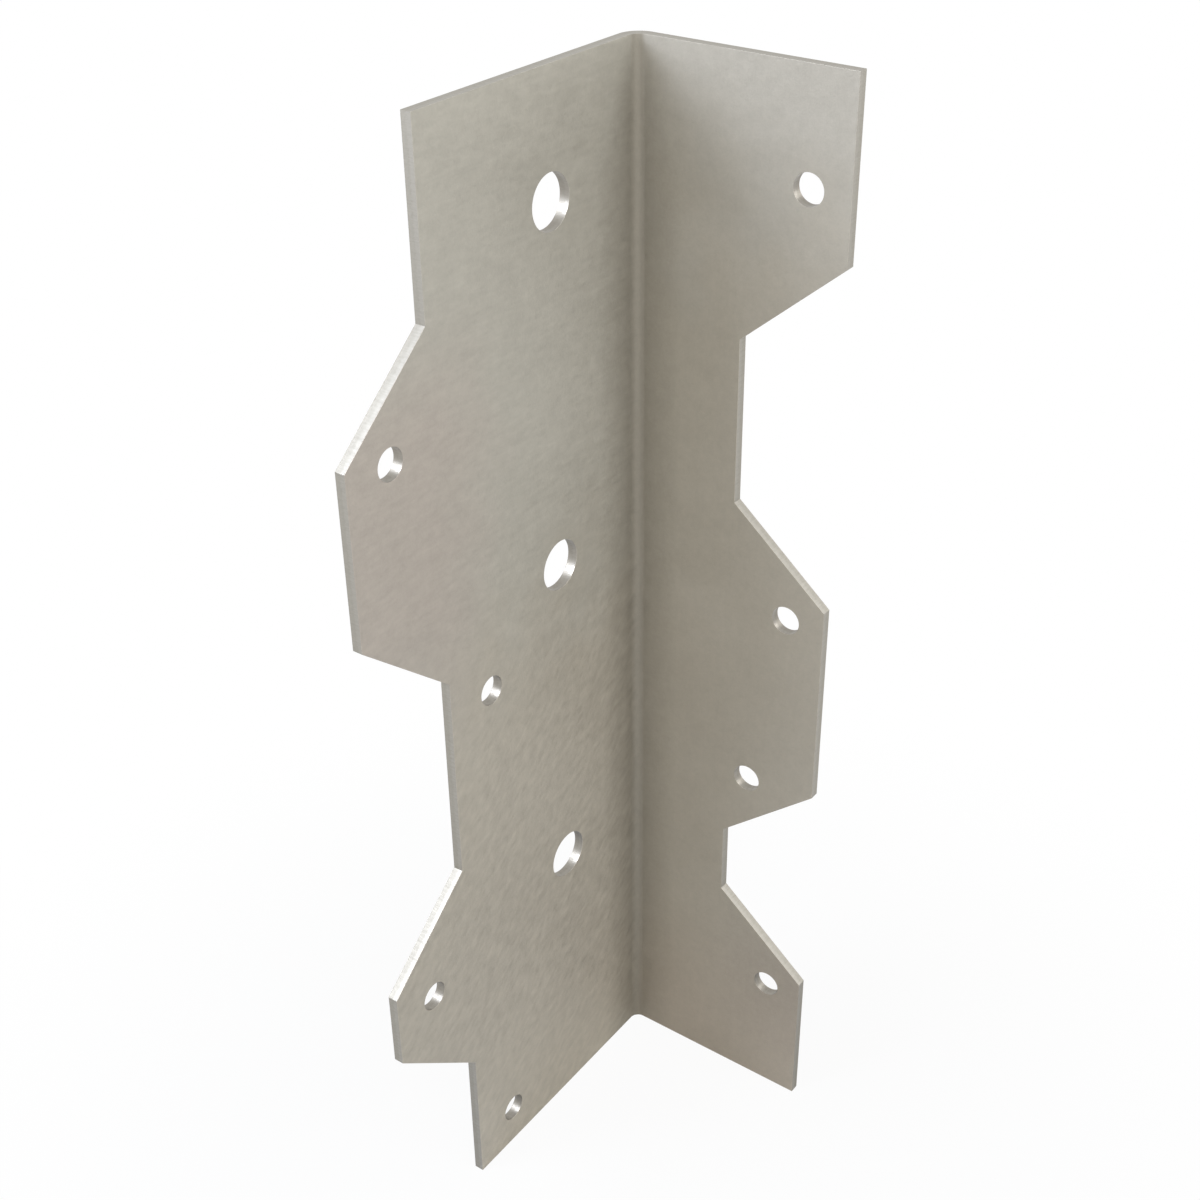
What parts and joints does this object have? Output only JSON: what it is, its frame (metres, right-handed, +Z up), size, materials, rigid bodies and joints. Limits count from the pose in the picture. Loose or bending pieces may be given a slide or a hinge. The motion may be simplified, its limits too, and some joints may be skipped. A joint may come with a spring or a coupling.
{
  "type": "framing angle",
  "caption": "Tall galvanised steel angle folded from one sheet, with stepped free edges and punched bolt and nail holes, for fastening crossing timbers.",
  "frame": {"origin": "under the middle of the part's box, on the surface that its foot stands on", "axes": "+Z up along the fold, from the foot to the head; the wide leg runs from the fold towards -X with its outer face towards +Y; the narrow leg runs from the fold towards -Y with its outer face towards +X"},
  "size_m": [0.0624, 0.0352, 0.1778],
  "materials": {
    "galvanised_steel": "hot-dip galvanised sheet, satin, faintly mottled, sheared edges left bare and slightly brighter"
  },
  "bodies": {
    "root": {"framing_angle": "galvanised_steel"}
  },
  "joints": []
}
